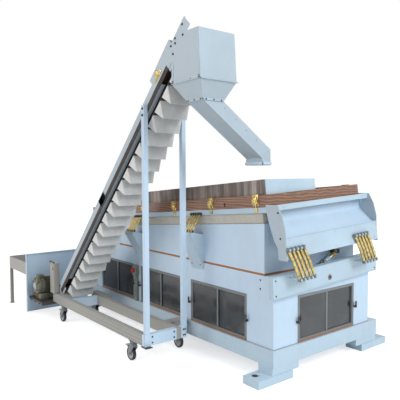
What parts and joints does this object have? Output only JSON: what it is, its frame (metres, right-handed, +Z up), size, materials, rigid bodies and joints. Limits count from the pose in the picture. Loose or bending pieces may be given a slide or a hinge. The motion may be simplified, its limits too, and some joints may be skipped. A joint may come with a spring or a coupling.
{
  "type": "seed gravity separator",
  "caption": "Gravity separator for seed: tilted wooden deck on a windowed fan cabinet, end discharge trough, and a bucket elevator on casters that feeds it.",
  "frame": {"origin": "centre of the four anchor holes, at floor level", "axes": "+X to the discharge end, -Y to the long side where the elevator stands, +Z up"},
  "size_m": [4.045, 2.345, 2.8164],
  "materials": {
    "white_paint": "satin",
    "blue_white_paint": "satin",
    "grey_paint": "satin",
    "beige_paint": "satin",
    "green_paint": "satin",
    "dark_frame": "satin",
    "dark_steel": "matte",
    "gold_plate": "satin",
    "stainless_steel": "brushed",
    "red_brown_wood": "varnished",
    "tinted_glass": "glossy",
    "canvas": "matte",
    "orange_rubber": "matte",
    "brown_rubber": "matte",
    "wheel_rubber": "matte",
    "white_plastic": "matte",
    "grey_plastic": "matte",
    "red_plastic": "glossy"
  },
  "bodies": {
    "machine": {"air_chest": "blue_white_paint", "back_wall": "blue_white_paint", "base_rails": "white_paint", "bearing_plates": "grey_paint", "belt_drums": "dark_steel", "buckets": "white_plastic", "cabinet_floor": "blue_white_paint", "cabinet_top": "blue_white_paint", "canvas_sleeve": "canvas", "caster_plates": "dark_steel", "chain_guard": "grey_paint", "conveyor_belt": "brown_rubber", "cross_beams": "blue_white_paint", "deck_boards": "red_brown_wood", "deck_clamps": "gold_plate", "deck_frame": "white_paint", "deck_screen": "stainless_steel", "drive_plate": "dark_steel", "elevator_posts": "blue_white_paint", "elevator_sides": "grey_paint", "end_beam": "white_paint", "end_spring_packs": "gold_plate", "end_walls": "blue_white_paint", "fan_set": "dark_steel", "feed_chute": "grey_paint", "feed_panel": "blue_white_paint", "feed_tray": "beige_paint", "feet": "white_paint", "front_wall": "blue_white_paint", "gear_motor": "green_paint", "ground_beams": "beige_paint", "head_cover": "grey_paint", "head_funnel": "grey_paint", "head_hood": "grey_paint", "seal_strip": "orange_rubber", "side_brackets": "white_paint", "side_springs": "gold_plate", "switch_box": "grey_plastic", "switch_knob": "red_plastic", "tilt_strut": "gold_plate", "trough_bar": "white_paint", "trough_pan": "stainless_steel", "trough_skirt": "white_paint", "trough_wings": "grey_paint", "upstand_end": "white_paint", "upstand_front": "stainless_steel", "window_frames": "dark_frame", "window_panes": "tinted_glass"},
    "fork_front_right": {"caster_fork_front_right": "dark_steel"},
    "wheel_front_right": {"caster_wheel_front_right": "wheel_rubber"},
    "fork_front_left": {"caster_fork_front_left": "dark_steel"},
    "wheel_front_left": {"caster_wheel_front_left": "wheel_rubber"},
    "fork_rear_right": {"caster_fork_rear_right": "dark_steel"},
    "wheel_rear_right": {"caster_wheel_rear_right": "wheel_rubber"},
    "fork_rear_left": {"caster_fork_rear_left": "dark_steel"},
    "wheel_rear_left": {"caster_wheel_rear_left": "wheel_rubber"}
  },
  "joints": [
    {"name": "swivel_front_right", "type": "hinge", "parent": "machine", "child": "fork_front_right", "pos_m": [0.45, -1.291, 0.16], "axis": [0, 0, 1], "continuous": true},
    {"name": "roll_front_right", "type": "hinge", "parent": "fork_front_right", "child": "wheel_front_right", "pos_m": [0.415, -1.291, 0.0625], "axis": [0, 1, 0], "continuous": true},
    {"name": "swivel_front_left", "type": "hinge", "parent": "machine", "child": "fork_front_left", "pos_m": [-1.05, -1.291, 0.16], "axis": [0, 0, 1], "continuous": true},
    {"name": "roll_front_left", "type": "hinge", "parent": "fork_front_left", "child": "wheel_front_left", "pos_m": [-1.085, -1.291, 0.0625], "axis": [0, 1, 0], "continuous": true},
    {"name": "swivel_rear_right", "type": "hinge", "parent": "machine", "child": "fork_rear_right", "pos_m": [0.45, -0.776, 0.16], "axis": [0, 0, 1], "continuous": true},
    {"name": "roll_rear_right", "type": "hinge", "parent": "fork_rear_right", "child": "wheel_rear_right", "pos_m": [0.415, -0.776, 0.0625], "axis": [0, 1, 0], "continuous": true},
    {"name": "swivel_rear_left", "type": "hinge", "parent": "machine", "child": "fork_rear_left", "pos_m": [-1.05, -0.897, 0.16], "axis": [0, 0, 1], "continuous": true},
    {"name": "roll_rear_left", "type": "hinge", "parent": "fork_rear_left", "child": "wheel_rear_left", "pos_m": [-1.085, -0.897, 0.0625], "axis": [0, 1, 0], "continuous": true}
  ]
}
